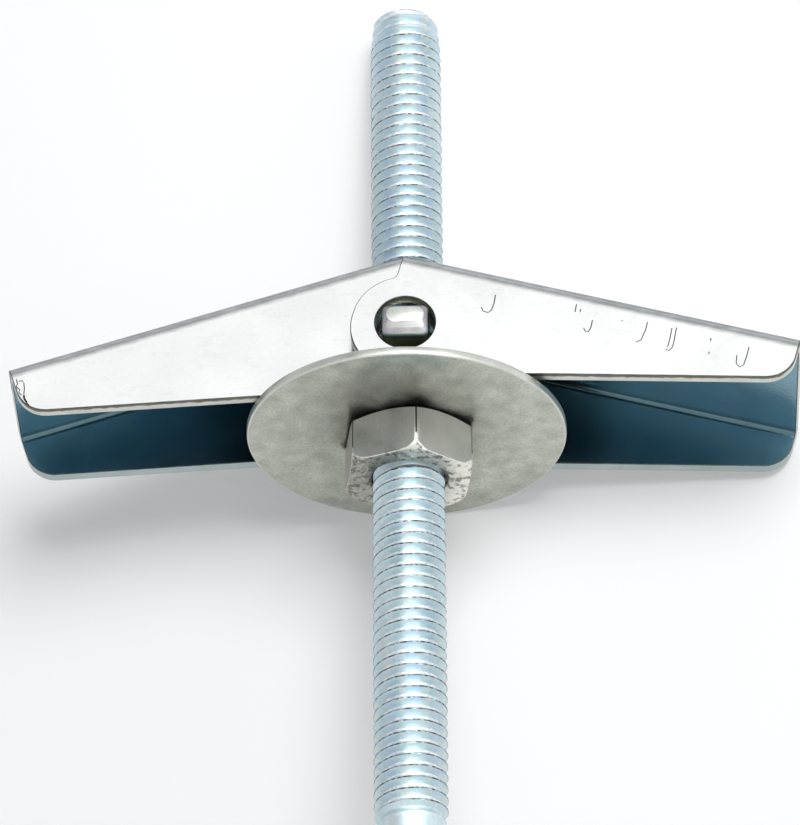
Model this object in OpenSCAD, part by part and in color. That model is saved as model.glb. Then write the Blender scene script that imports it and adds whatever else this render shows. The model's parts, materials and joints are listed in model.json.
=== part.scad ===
// Spring toggle bolt: a threaded rod that carries a hex nut, a wide washer and a toggle.
// The toggle is a pivot nut with two folded sheet wings, one nested inside the other,
// and a double torsion spring that holds them open.
//
// Every piece is drawn upright: z runs along the rod towards its toggle end, x along the
// opened wings and y along the pivot. z = 0 is the washer's face on the nut side.
// at_rest() then lays the whole thing down as it comes to rest on a floor.

/* [Rod] */
// Outside diameter of the thread
rod_d = 5.9; // [5.4:0.1:6.4]
// Threaded length from the washer's nut side to the toggle end
far_len = 40.4; // [34:0.2:60]
// Threaded length from the washer's nut side towards the plain shank
near_len = 35.3; // [20:0.1:38]
// Length of the plain shank behind the thread
shank_len = 10; // [4:0.5:14]
// Length over which the thread runs out into the shank
thread_runout = 0.6; // [0.2:0.1:1.5]
// How much smaller the plain shank is than the thread, on the diameter
shank_step = 0.5; // [0.2:0.1:1]
// Chamfer on both ends of the rod
rod_chamfer = 0.6; // [0.2:0.1:1]

/* [Nut and washer] */
// Hex nut, across the flats
nut_af = 9.8; // [9:0.1:12]
// Hex nut, height
nut_h = 4.25; // [2.5:0.05:6]
// Turn of the nut about the rod, in degrees
nut_turn = -22; // [-60:1:60]
// How far the nut's corners are turned off at its two faces
nut_bevel = 0.45; // [0.2:0.05:0.8]
// Height over which the nut's corners are turned off
nut_edge_drop = 0.75; // [0.3:0.05:1]
// Depth of the countersinks in the nut's faces
nut_sink = 0.4; // [0.2:0.05:0.8]
// Washer, outside diameter
washer_d = 26; // [22:0.5:30]
// Washer, thickness
washer_t = 0.7; // [0.4:0.1:1.5]
// Bevel round the washer's punched edges
washer_bevel = 0.1; // [0.05:0.01:0.15]

/* [Pivot nut] */
// Wall of the pivot nut beside its threaded bore
block_wall = 1.6; // [1:0.1:2]
// Height of the pivot nut along the rod
block_h = 6.4; // [5:0.1:8]
// Length of the pivot nut's block along the pivot
block_len = 7.2; // [7:0.1:9]
// Bevel on the upright edges of the pivot nut
block_bevel = 0.6; // [0.2:0.1:1]
// Width of the two pivot stubs, across the rod
stub_w = 3.8; // [3:0.1:4]
// How far a stub stands proud of the outer cheek
stub_proud = 0.8; // [0.2:0.05:1]
// How deep a stub runs into the block
stub_seat = 0.2; // [0.1:0.05:0.5]
// Length of the bevel round the end of a stub
stub_bevel = 0.45; // [0.2:0.05:0.6]
// How much smaller the flat end of a stub is, on each side
stub_inset = 0.6; // [0.2:0.05:0.8]

/* [Wings] */
// Thickness of the folded sheet
sheet_t = 1; // [0.7:0.05:1.2]
// Outer radius of the fold between the spine and a cheek
bend_r = 1.5; // [1.3:0.1:2]
// Length of the outer wing from the pivot
outer_len = 31.3; // [26:0.1:34]
// Length of the inner wing from the pivot
inner_len = 31.4; // [26:0.1:34]
// Slope of the outer wing's spine when open, in degrees
outer_slope = 15.5; // [12:0.5:18]
// Slope of the inner wing's spine when open, in degrees
inner_slope = 17.4; // [14:0.1:20]
// Depth of the outer wing at its tip
outer_tip = 4.2; // [3.4:0.1:6]
// Depth of the inner wing at its tip
inner_tip = 4.7; // [3.4:0.1:6]
// Depth of the outer cheeks below the pivot
outer_root = 4.84; // [4.7:0.01:5.3]
// Depth of the inner cheeks below the pivot
inner_root = 5.06; // [4.7:0.01:5.3]
// Radius of the rounded lower corner at each tip
corner_r = 2.5; // [1:0.1:2.5]
// Diameter of the pivot holes
hole_d = 4.88; // [4.4:0.02:5]
// Sheet left round a pivot hole, which makes the ear's radius
ear_wall = 1.9; // [1.4:0.05:1.95]
// Radius of the hollow corner between an ear and the wing's back edge
ear_hollow = 0.65; // [0.3:0.05:1]
// Radius of the corners of the slots in the spines
slot_corner = 1.5; // [0.5:0.1:2.5]
// Gap between an outer and an inner cheek
ear_gap = 0.9; // [0.3:0.1:1.5]

/* [Spring] */
// Diameter of the spring wire
wire_d = 0.45; // [0.3:0.05:0.6]
// How far the spring's arms reach along the wings
arm_len = 7.5; // [6:0.1:9]
// Radius of the bends at the ends of the spring's bow
bow_r = 1; // [0.6:0.1:1.5]

/* [Fits] */
// Play on the radius between the rod and a threaded bore
thread_play = 0.05; // [0.02:0.01:0.1]
// Play on the radius between the rod and the washer
washer_play = 0.25; // [0.15:0.05:0.5]
// How far the washer has slipped aside on the rod, within its play
washer_slip = 0.15; // [0:0.01:0.2]
// Play between a stub's corners and the pivot holes, on the radius
pivot_play = 0.05; // [0.02:0.01:0.1]
// Space that the wings keep from the pivot nut, and from each other, as they fold
fold_play = 0.1; // [0.05:0.01:0.3]
// Space between the washer and the lowest wing edge above it
seat_play = 0.06; // [0.05:0.01:0.3]
// Space between the rod and the slots in the wings' spines
slot_play = 0.45; // [0.3:0.05:0.8]
// Space round the spring wire
wire_play = 0.05; // [0.03:0.01:0.1]

/* [Hidden] */
$fn = 96;
rod_r = rod_d / 2;
shank_r = rod_r - shank_step / 2;
bore_r = rod_r + thread_play;
washer_r = washer_d / 2;
washer_hole_r = rod_r + washer_play;
nut_corner_r = nut_af / 2 / cos(30);
overrun = 1;
skin = 0.01;

// Pivot nut: the block clears the spines as they swing round it
block_w = 2 * (bore_r + block_wall);
block_corner_r = norm([block_w, block_h]) / 2;
stub_h = sqrt(pow(hole_d - 2 * pivot_play, 2) - pow(stub_w, 2));

// Wings: half widths across the outside, and heights of the spines above the pivot
ear_r = hole_d / 2 + ear_wall;
spring_room = 2 * wire_d + 4 * wire_play;
inner_half = block_len / 2 + spring_room + sheet_t;
outer_half = inner_half + ear_gap + sheet_t;
outer_rise = block_corner_r + fold_play + sheet_t;
inner_rise = outer_rise + sheet_t + fold_play / 2;
inner_slot = rod_r + slot_play;
outer_slot = inner_half + fold_play;
leg_drop = 2 * outer_rise;

// Height of the pivot: the lowest wing edge just clears the washer's rim
pivot_z = washer_t + seat_play + max(
    edge_drop(outer_half, outer_rise, outer_root, outer_tip, outer_len, outer_slope),
    edge_drop(inner_half, inner_rise, inner_root, inner_tip, inner_len, inner_slope));

// Angle between a wing's spine and its lower edge
function edge_angle(rise, root, tip, len) = atan((rise - tip + root) / len);

// How far a wing's lower edge lies below the pivot, over the washer's rim
function edge_drop(half, rise, root, tip, len, slope) =
    let (a = edge_angle(rise, root, tip, len), x = sqrt(washer_r * washer_r - half * half))
    root * cos(a) / cos(slope - a) + x * tan(slope - a);

// How it lies: on the washer's rim, on the rod's toggle end and on the outer wing's tip.
// rest_tilt is the slope of the rod and rest_roll the turn about it.
rim_z = washer_t - washer_bevel;
rest_tilt = atan((washer_r - rod_r) / (far_len - rod_chamfer - rim_z));
rest_h = washer_r * cos(rest_tilt) + rim_z * sin(rest_tilt);
rest_roll = settle(0, 12);

// Direction of the floor, seen from the upright piece turned by roll
function down(roll) = [sin(roll) * cos(rest_tilt), cos(roll) * cos(rest_tilt), sin(rest_tilt)];

// How far the folded corner at a wing's tip reaches from the pivot in direction d
function tip_reach(d, half, rise, len, slope) =
    let (along = d.x * cos(slope) - d.z * sin(slope), up = d.x * sin(slope) + d.z * cos(slope))
    len * along + (half - bend_r) * abs(d.y) + (rise - bend_r) * up + bend_r * norm([d.y, up]);

// Turns the toggle, step by step, until the outer wing's tip meets the floor
function settle(roll, steps) = steps == 0 ? roll :
    let (d = down(roll), reach = tip_reach(d, outer_half, outer_rise, outer_len, outer_slope))
    settle(roll + (rest_h - pivot_z * d.z - reach) / (outer_len * cos(rest_tilt)) * 180 / PI, steps - 1);

// Middle of the resting piece, seen from above
across = [cos(rest_roll), sin(rest_roll), 0];
rest_x = (tip_reach(across, outer_half, outer_rise, outer_len, outer_slope)
        - tip_reach(across, inner_half, inner_rise, inner_len, inner_slope)) / 2;
rest_far = rod_r * sin(rest_tilt) + (far_len - rod_chamfer) * cos(rest_tilt);
rest_tip = (rod_r - rod_chamfer) * sin(rest_tilt) + far_len * cos(rest_tilt);
rest_near = shank_r * sin(rest_tilt) + (near_len + shank_len - rod_chamfer) * cos(rest_tilt);
rest_end = (shank_r - rod_chamfer) * sin(rest_tilt) + (near_len + shank_len) * cos(rest_tilt);
rest_y = (max(rest_far, rest_tip) - max(rest_near, rest_end)) / 2;

// Spring: one coil beside each end of the block, arms under both spines and a bow that
// joins the arms under the inner wing, beyond the rod
coil_r = hole_d / 2 + 3 * wire_play + wire_d / 2;
coil_in = block_len / 2 + wire_play + wire_d / 2;
coil_out = coil_in + wire_d + 2 * wire_play;
arm_gap = wire_d / 2 + wire_play;
arm_outer = [arm_len, outer_rise - sheet_t - arm_gap];
arm_inner = [arm_len, inner_rise - sheet_t - arm_gap];
coil_steps = 24;
bow_steps = 4;
wire_sides = 8;

// Angle on the coil at which the arm that ends at p leaves it
function leave(p) = atan2(p.y, p.x) + acos(coil_r / norm(p));
arm_outer_at = leave(arm_outer) - outer_slope;
arm_inner_at = 540 - (leave(arm_inner) - inner_slope);
arm_outer_end = [arm_outer.x * cos(outer_slope) + arm_outer.y * sin(outer_slope), coil_in,
                 arm_outer.y * cos(outer_slope) - arm_outer.x * sin(outer_slope)];
arm_inner_end = [-arm_inner.x * cos(inner_slope) - arm_inner.y * sin(inner_slope), coil_out,
                 arm_inner.y * cos(inner_slope) - arm_inner.x * sin(inner_slope)];
arm_inner_root = [coil_r * cos(arm_inner_at), coil_out, coil_r * sin(arm_inner_at)];
arm_dir = unit(arm_inner_end - arm_inner_root);
bow_start = arm_inner_end - bow_r * arm_dir;

function unit(v) = v / norm(v);
function flip_y(list) = [for (i = [len(list) - 1:-1:0]) [list[i].x, -list[i].y, list[i].z]];

coil_path = [for (i = [0:coil_steps])
    let (a = arm_outer_at + (arm_inner_at - arm_outer_at) * i / coil_steps)
    [coil_r * cos(a), coil_in + (coil_out - coil_in) * i / coil_steps, coil_r * sin(a)]];
bow_path = [for (i = [0:bow_steps])
    let (a = 90 * i / bow_steps)
    bow_start + bow_r * (sin(a) * arm_dir - [0, 1 - cos(a), 0])];
half_path = concat([arm_outer_end], coil_path, bow_path);
bow_normal = cross(arm_dir, [0, 1, 0]);
half_normals = concat(
    [cross(unit(coil_path[0] - arm_outer_end), [0, 1, 0])],
    [for (p = coil_path) -unit([p.x, 0, p.z])],
    [for (p = bow_path) bow_normal]);

// Lays an upright piece down where it comes to rest, standing on z = 0
module at_rest() {
    translate([-rest_x, -rest_y, rest_h])
        rotate([-90 - rest_tilt, 0, 0])
            rotate([0, 0, rest_roll])
                children();
}

module threaded_rod() {
    color("lightsteelblue")
        at_rest()
            rotate_extrude()
                polygon([
                    [0, -near_len - shank_len],
                    [shank_r - rod_chamfer, -near_len - shank_len],
                    [shank_r, -near_len - shank_len + rod_chamfer],
                    [shank_r, -near_len - thread_runout],
                    [rod_r, -near_len],
                    [rod_r, far_len - rod_chamfer],
                    [rod_r - rod_chamfer, far_len],
                    [0, far_len]]);
}

module hex_nut() {
    color("silver")
        at_rest()
            rotate([0, 0, nut_turn])
                difference() {
                    intersection() {
                        translate([0, 0, -nut_h])
                            cylinder(h = nut_h, r = nut_corner_r, $fn = 6);
                        nut_turning();
                    }
                    translate([0, 0, -nut_h - overrun])
                        cylinder(h = nut_h + 2 * overrun, r = bore_r);
                    nut_countersinks();
                }
}

// The turned form that bevels the nut's six corners, top and bottom
module nut_turning() {
    flat_r = nut_corner_r - nut_bevel;
    rotate_extrude()
        polygon([
            [0, -nut_h],
            [flat_r, -nut_h],
            [nut_corner_r + skin, -nut_h + nut_edge_drop],
            [nut_corner_r + skin, -nut_edge_drop],
            [flat_r, 0],
            [0, 0]]);
}

module nut_countersinks() {
    for (side = [0, 1])
        translate([0, 0, -nut_h * side])
            mirror([0, 0, side])
                translate([0, 0, -nut_sink])
                    cylinder(h = nut_sink + skin, r1 = bore_r, r2 = bore_r + nut_sink + skin);
}

// The washer slips level with the floor, so that its rim still meets it
module washer() {
    color("gainsboro")
        at_rest()
            rotate([0, 0, -rest_roll])
                translate([-washer_slip, 0, 0])
                    rotate_extrude()
                        polygon([
                            [washer_hole_r, 0],
                            [washer_r - washer_bevel, 0],
                            [washer_r, washer_bevel],
                            [washer_r, washer_t - washer_bevel],
                            [washer_r - washer_bevel, washer_t],
                            [washer_hole_r, washer_t]]);
}

module pivot_nut() {
    color("lightgrey")
        at_rest()
            translate([0, 0, pivot_z])
                difference() {
                    union() {
                        pivot_block();
                        for (side = [0, 1])
                            mirror([0, side, 0])
                                pivot_stub();
                    }
                    translate([0, 0, -block_h])
                        cylinder(h = 2 * block_h, r = bore_r);
                }
}

// The block, with its four upright edges bevelled
module pivot_block() {
    x = block_w / 2;
    y = block_len / 2;
    b = block_bevel;
    translate([0, 0, -block_h / 2])
        linear_extrude(block_h)
            polygon([
                [x - b, -y], [x, -y + b], [x, y - b], [x - b, y],
                [-x + b, y], [-x, y - b], [-x, -y + b], [-x + b, -y]]);
}

// One stub: a bar through both cheeks, bevelled round its end in both directions
module pivot_stub() {
    intersection() {
        translate([0, 0, -stub_h / 2])
            linear_extrude(stub_h)
                stub_outline(stub_w / 2);
        rotate([0, 90, 0])
            translate([0, 0, -stub_w / 2])
                linear_extrude(stub_w)
                    stub_outline(stub_h / 2);
    }
}

module stub_outline(half) {
    root = block_len / 2 - stub_seat;
    end = outer_half + stub_proud;
    polygon([
        [-half, root],
        [half, root],
        [half, end - stub_bevel],
        [half - stub_inset, end],
        [-half + stub_inset, end],
        [-half, end - stub_bevel]]);
}

module outer_wing() {
    color("white")
        at_rest()
            translate([0, 0, pivot_z])
                wing(outer_half, outer_rise, outer_root, outer_tip, outer_len, outer_slope, outer_slot);
}

module inner_wing() {
    color("whitesmoke")
        at_rest()
            translate([0, 0, pivot_z])
                mirror([1, 0, 0])
                    wing(inner_half, inner_rise, inner_root, inner_tip, inner_len, inner_slope, inner_slot);
}

// One wing: a sheet folded into a channel, cut to the outline of its cheeks, with a
// pivot hole through both cheeks and a slot in the spine. The inner wing's slot lets the
// rod through, and the outer wing's also lets the inner cheeks through.
module wing(half, rise, root, tip, len, slope, slot) {
    // The spine's outer face ends over the rod's axis
    back = (rise * sin(slope) - fold_play / 2) / cos(slope);
    rotate([0, slope, 0])
        difference() {
            intersection() {
                folded_channel(half, rise, len);
                cheek_form(half + overrun, rise, root, tip, len, back);
            }
            rotate([90, 0, 0])
                cylinder(h = 2 * (half + overrun), r = hole_d / 2, center = true);
            spine_slot(slot, (inner_slot - (rise - sheet_t / 2) * sin(slope)) / cos(slope), rise);
        }
}

// The slot in a spine, open towards the other wing, with two rounded corners
module spine_slot(half, end, rise) {
    floor = rise - 2 * bend_r;
    depth = 3 * bend_r;
    start = -2 * ear_r;
    translate([start, -half, floor])
        cube([end - slot_corner - start, 2 * half, depth]);
    translate([start, -half + slot_corner, floor])
        cube([end - start, 2 * (half - slot_corner), depth]);
    for (side = [-1, 1])
        translate([end - slot_corner, side * (half - slot_corner), floor])
            cylinder(h = depth, r = slot_corner);
}

// The folded sheet as an endless channel, with its open side towards the washer
module folded_channel(half, rise, len) {
    difference() {
        round_backed_bar(half, rise, bend_r, len);
        round_backed_bar(half - sheet_t, rise - sheet_t, bend_r - sheet_t, len + overrun);
    }
}

// A long bar along x with its two upper edges rounded
module round_backed_bar(half, top, r, len) {
    start = -2 * ear_r;
    translate([start, -half, -leg_drop])
        cube([len - start, 2 * half, leg_drop + top - r]);
    translate([start, -half + r, -leg_drop])
        cube([len - start, 2 * (half - r), leg_drop + top]);
    for (side = [-1, 1])
        translate([start, side * (half - r), top - r])
            rotate([0, 90, 0])
                cylinder(h = len - start, r = r);
}

// The side view of a wing as a solid, with the pivot at the origin and the spine along x.
// Below the pivot the ear's round runs on into the straight lower edge.
module cheek_form(half, rise, root, tip, len, back) {
    a = edge_angle(rise, root, tip, len);
    below = corner_side(a);
    corner = [len - corner_r, rise - tip + corner_r * (1 - sin(a)) / cos(a)];
    heel = [0, ear_r / cos(a) - root];
    hollow = [-back - ear_hollow, sqrt(pow(ear_r + ear_hollow, 2) - pow(back + ear_hollow, 2))];
    rotate([90, 0, 0]) {
        difference() {
            linear_extrude(2 * half, center = true)
                polygon([
                    [0, 0],
                    [-back, 0],
                    hollow * ear_r / (ear_r + ear_hollow),
                    hollow,
                    [-back, hollow.y]]);
            translate(hollow)
                cylinder(h = 2 * half + overrun, r = ear_hollow, center = true);
        }
        for (centre = [[0, 0], heel])
            translate(centre)
                cylinder(h = 2 * half, r = ear_r, center = true);
        translate(corner)
            cylinder(h = 2 * half, r = corner_r, center = true);
        linear_extrude(2 * half, center = true)
            polygon([
                [-back, rise],
                [len, rise],
                [len, corner.y],
                corner,
                corner + corner_r * below,
                heel + ear_r * below,
                heel,
                [-ear_r, heel.y],
                [-ear_r, 0],
                [-back, 0]]);
    }
}

// Direction square to a lower edge that rises by angle a, pointing out of the cheek
function corner_side(a) = [sin(a), -cos(a)];

module torsion_spring() {
    path = concat(half_path, flip_y(half_path));
    normals = concat(half_normals, flip_y(half_normals));
    color("slategray")
        at_rest()
            translate([0, 0, pivot_z])
                wire(path, normals);
}

// A round wire swept along a path, with the side of each ring given by a normal
module wire(path, normals) {
    last = len(path) - 1;
    rings = [for (i = [0:last])
        let (t = unit(path[min(i + 1, last)] - path[max(i - 1, 0)]))
        let (n = unit(normals[i] - t * (normals[i] * t)))
        let (b = cross(n, t))
        for (k = [0:wire_sides - 1])
            let (a = 360 * k / wire_sides)
            path[i] + wire_d / 2 * (cos(a) * b + sin(a) * n)];
    sides = [for (i = [0:last - 1])
        for (k = [0:wire_sides - 1])
            let (j = (k + 1) % wire_sides)
            [i * wire_sides + k, (i + 1) * wire_sides + k, (i + 1) * wire_sides + j, i * wire_sides + j]];
    start_cap = [for (k = [0:wire_sides - 1]) k];
    end_cap = [for (k = [wire_sides - 1:-1:0]) last * wire_sides + k];
    polyhedron(points = rings, faces = concat([start_cap], sides, [end_cap]), convexity = 8);
}

threaded_rod();
hex_nut();
washer();
pivot_nut();
outer_wing();
inner_wing();
torsion_spring();
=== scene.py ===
# %% [markdown]
# # Dressing a spring toggle bolt
# A spring toggle bolt hangs a load from a hollow ceiling. Its folded steel wings are pushed
# through a hole, a spring throws them open, and a nut and a wide washer clamp the board
# between them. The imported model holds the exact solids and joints, and this lesson gives
# each solid the finish of the real metal.

# %% Load the frame
import json
from functools import partial
from math import acos, atan, atan2, copysign, cos, degrees, hypot, pi, radians, sin, sqrt, tau

import bmesh
import bpy
from mathutils import Matrix, Vector


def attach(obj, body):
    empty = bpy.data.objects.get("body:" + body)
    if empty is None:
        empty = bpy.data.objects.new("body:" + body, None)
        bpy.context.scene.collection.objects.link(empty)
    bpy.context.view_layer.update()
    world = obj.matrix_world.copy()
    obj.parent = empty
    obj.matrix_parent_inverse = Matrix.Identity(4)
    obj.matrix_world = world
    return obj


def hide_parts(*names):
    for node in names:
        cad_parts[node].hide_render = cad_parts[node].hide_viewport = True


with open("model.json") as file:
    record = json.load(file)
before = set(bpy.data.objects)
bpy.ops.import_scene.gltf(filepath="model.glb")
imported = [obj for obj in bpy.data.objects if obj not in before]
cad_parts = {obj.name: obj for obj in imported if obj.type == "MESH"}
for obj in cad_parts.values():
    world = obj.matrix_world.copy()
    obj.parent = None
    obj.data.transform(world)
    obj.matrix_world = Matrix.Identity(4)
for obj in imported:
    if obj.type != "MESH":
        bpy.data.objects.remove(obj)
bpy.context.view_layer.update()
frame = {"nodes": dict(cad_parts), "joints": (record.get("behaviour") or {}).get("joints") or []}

print("nodes:", sorted(frame["nodes"]))

# %% [markdown]
# ## One upright drawing board
# The bolt lies tilted on the floor, which is awkward to draw in. It is easier to draw each
# piece upright, in millimetres, and to lay it down at the end. The joints know the way:
# the nut turns about the rod, and the wings fold about the pivot.

# %% Upright axes from the joints
joints = {joint["name"]: joint for joint in frame["joints"]}
MM = 0.001
rod_axis = Vector(joints["head_slide"]["axis"]).normalized()
pivot_axis = Vector(joints["outer_fold"]["axis"]).normalized()
wing_axis = pivot_axis.cross(rod_axis).normalized()
washer_foot = Vector(joints["nut_spin"]["pos_m"])
pivot_point = Vector(joints["outer_fold"]["pos_m"])
pivot_z = (pivot_point - washer_foot).dot(rod_axis) / MM

upright = Matrix((wing_axis, pivot_axis, rod_axis)).transposed()
lay_down = Matrix.Translation(washer_foot) @ upright.to_4x4() @ Matrix.Scale(MM, 4)
print("pivot is", round(pivot_z, 3), "mm above the washer's nut side")

# %% [markdown]
# ## The camera
# A long lens from high above and close to the rod's line flattens the wings into the
# picture. A camera looks along its own minus Z, so its three axes go straight into the
# columns of its matrix.

# %% Camera
camera_data = bpy.data.cameras.new("camera")
camera_data.sensor_width = 36
camera_data.lens = 281.9
camera_data.clip_start = 0.01
camera = bpy.data.objects.new("camera", camera_data)
bpy.context.scene.collection.objects.link(camera)
camera_right = Vector((0.982627, -0.05159, -0.178278))
camera_up = Vector((0.099646, 0.957046, 0.272273))
camera_back = camera_right.cross(camera_up)
camera_spot = Vector((81.678, -145.436, 509.496)) * MM
camera_turn = Matrix((camera_right, camera_up, camera_back)).transposed()
camera.matrix_world = Matrix.Translation(camera_spot) @ camera_turn.to_4x4()
bpy.context.scene.camera = camera
print("camera looks along", [round(c, 3) for c in -camera_back])

# %% [markdown]
# ## Small workshop helpers
# Three helpers make a turned form from a half profile, a plate from an outline and a loft
# through several outlines. They draw point by point in a bmesh, which is quick and exact,
# and hand back a plain mesh.

# %% Lathe and plate
def new_object(name, mesh):
    piece = bpy.data.objects.new(name, mesh)
    bpy.context.scene.collection.objects.link(piece)
    return piece


def mesh_from(form, name, weld=1e-5):
    """A closed mesh from a bmesh, welded, with its faces turned outwards."""
    bmesh.ops.remove_doubles(form, verts=form.verts, dist=weld)
    bmesh.ops.recalc_face_normals(form, faces=form.faces)
    mesh = bpy.data.meshes.new(name)
    form.to_mesh(mesh)
    form.free()
    return mesh


def turned(name, profile, steps=96, closed=False):
    """Turns a half profile of (radius, height) points about z. A closed profile makes a ring."""
    form = bmesh.new()
    rings = [[form.verts.new((r * cos(a), r * sin(a), z)) for r, z in profile]
             for a in (tau * i / steps for i in range(steps))]
    count = len(profile)
    for i in range(steps):
        here, there = rings[i], rings[(i + 1) % steps]
        for k in range(count if closed else count - 1):
            j = (k + 1) % count
            corners = [here[k], there[k], there[j], here[j]]
            if profile[k][0] == 0:
                corners.remove(there[k])
            if profile[j][0] == 0:
                corners.remove(there[j])
            if len(corners) > 2:
                form.faces.new(corners)
    return mesh_from(form, name)


def plate(name, outline, half, across="y"):
    """A plate across y, or across x or z. Its faces lie at -half and half, or at a pair of places."""
    axes = {"x": lambda a, b, d: (d, a, b), "y": lambda a, b, d: (a, d, b), "z": lambda a, b, d: (a, b, d)}
    low, high = half if isinstance(half, tuple) else (-half, half)
    form = bmesh.new()
    ends = [[form.verts.new(axes[across](a, b, d)) for a, b in outline] for d in (low, high)]
    form.faces.new(ends[0])
    form.faces.new(ends[1])
    for k in range(len(outline)):
        j = (k + 1) % len(outline)
        form.faces.new([ends[0][k], ends[0][j], ends[1][j], ends[1][k]])
    return mesh_from(form, name)


def loft(name, rings):
    """A closed form through rings of points, with a face at each end."""
    form = bmesh.new()
    rings = [[form.verts.new(point) for point in ring] for ring in rings]
    for here, there in zip(rings, rings[1:]):
        for k in range(len(here)):
            j = (k + 1) % len(here)
            form.faces.new([here[k], here[j], there[j], there[k]])
    form.faces.new(rings[0])
    form.faces.new(rings[-1])
    return mesh_from(form, name)


def arc(cx, cy, radius, start, end, steps):
    """Points on a round, with angles in degrees."""
    return [(cx + radius * cos(a), cy + radius * sin(a))
            for a in (radians(start + (end - start) * i / steps) for i in range(steps + 1))]


print("helpers: turned, plate, loft, arc")

# %% [markdown]
# ## Cutting and rounding
# Boolean cuts one closed form with another, and Bevel rounds the sharp edges. Real edges are
# never perfectly sharp, and a fine bevel that catches the light is what makes sheet metal
# look real. Each result is read back as a plain mesh.

# %% Cut, bevel and finishes
def evaluated(piece, name):
    """The object with its modifiers applied, as a plain mesh."""
    graph = bpy.context.evaluated_depsgraph_get()
    mesh = bpy.data.meshes.new_from_object(piece.evaluated_get(graph))
    mesh.name = name
    return mesh


def cut(blank, tool, operation="DIFFERENCE"):
    """Cuts one mesh with another and uses both up."""
    work, cutter = new_object("work", blank), new_object("cutter", tool)
    modifier = work.modifiers.new("cut", "BOOLEAN")
    modifier.operation = operation
    modifier.solver = "EXACT"
    modifier.object = cutter
    result = evaluated(work, blank.name)
    bpy.data.objects.remove(work)
    bpy.data.objects.remove(cutter)
    return result


def bevelled(mesh, width, finish=-1):
    """Rounds every edge sharper than 30 degrees. finish is the number of the bevels' material, and
    they keep that of the faces beside them otherwise."""
    work = new_object("work", mesh)
    rounding = work.modifiers.new("bevel", "BEVEL")
    rounding.width = width
    rounding.segments = 2
    rounding.limit_method = "ANGLE"
    rounding.angle_limit = radians(30)
    rounding.material = finish
    result = evaluated(work, mesh.name)
    bpy.data.objects.remove(work)
    return result


def coat(mesh, finishes, pick=None):
    """Gives a mesh its finishes. pick names one for each face, which otherwise keeps the number it has."""
    numbers = [pick(face) if pick else face.material_index for face in mesh.polygons]
    mesh.materials.clear()
    for finish in finishes:
        mesh.materials.append(finish)
    for face, number in zip(mesh.polygons, numbers):
        face.material_index = number
    return mesh


print("helpers: evaluated, cut, bevelled, coat")

# %% [markdown]
# ## Laying a piece down
# Every finished mesh is laid down here and shaded smooth, except where two faces meet at a
# sharp angle. On folded sheet the large faces have to stay evenly flat, and Weighted Normal
# sees to that. At the end the piece is tied to its body, and the solid that it stands for is
# hidden.

# %% Lay a mesh down as a finished piece
def finished(name, mesh, body, node, smooth_angle=35, flats=False):
    """flats keeps large faces evenly flat, and lets only the narrow faces round off between them."""
    piece = new_object(name, mesh)
    piece.data.transform(lay_down)
    piece.data.shade_smooth()
    piece.data.set_sharp_from_angle(angle=radians(smooth_angle))
    if flats:
        weights = piece.modifiers.new("flats", "WEIGHTED_NORMAL")
        weights.keep_sharp = True
        piece.data = evaluated(piece, name)
        piece.modifiers.clear()
    piece.data.name = name
    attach(piece, body)
    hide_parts(node)
    print(name, "has", len(piece.data.polygons), "faces")

# %% [markdown]
# ## Material tools
# Every finish reads Object coordinates. The bolt lies tilted, so a Mapping node turns them
# back into upright millimetres. Then x runs along the wings and z along the rod, and a
# scratch can follow the way a part was made.

# %% Node helpers and upright coordinates
turn_back = lay_down.inverted()


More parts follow.
